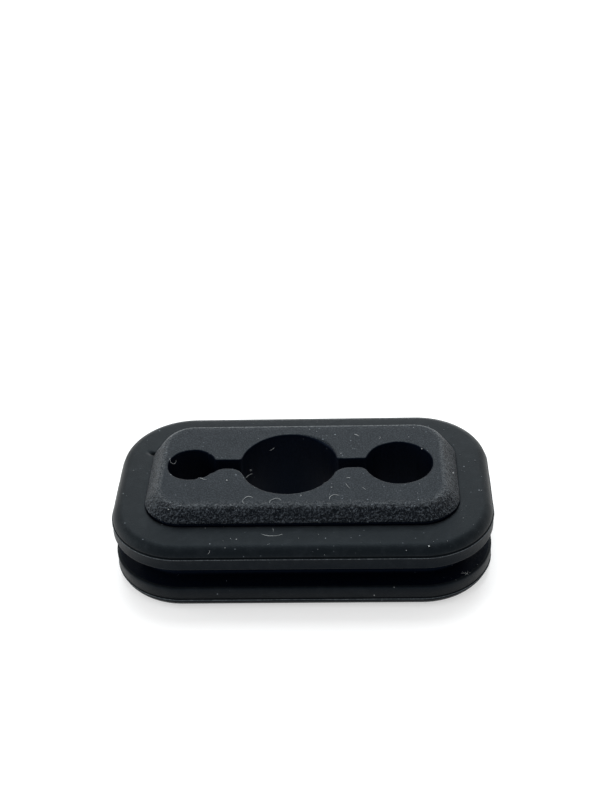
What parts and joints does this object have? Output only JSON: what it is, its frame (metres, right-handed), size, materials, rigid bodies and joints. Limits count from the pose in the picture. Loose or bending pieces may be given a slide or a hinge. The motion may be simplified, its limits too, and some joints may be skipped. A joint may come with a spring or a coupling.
{
  "type": "rubber grommet",
  "caption": "Rounded rectangular rubber grommet with a panel groove, two flanges and a raised boss, pierced by a row of cable holes joined by slits.",
  "frame": {"origin": "middle of the flat underside, below the middle of the flanges", "axes": "+X along the row of holes from the small hole towards the medium one, +Z out of the boss, away from the underside"},
  "size_m": [0.0388, 0.0228, 0.0095],
  "materials": {
    "black_rubber": "matt moulded rubber, with a spark-eroded grain on the sides of the boss"
  },
  "bodies": {
    "root": {"grommet": "black_rubber"}
  },
  "joints": []
}
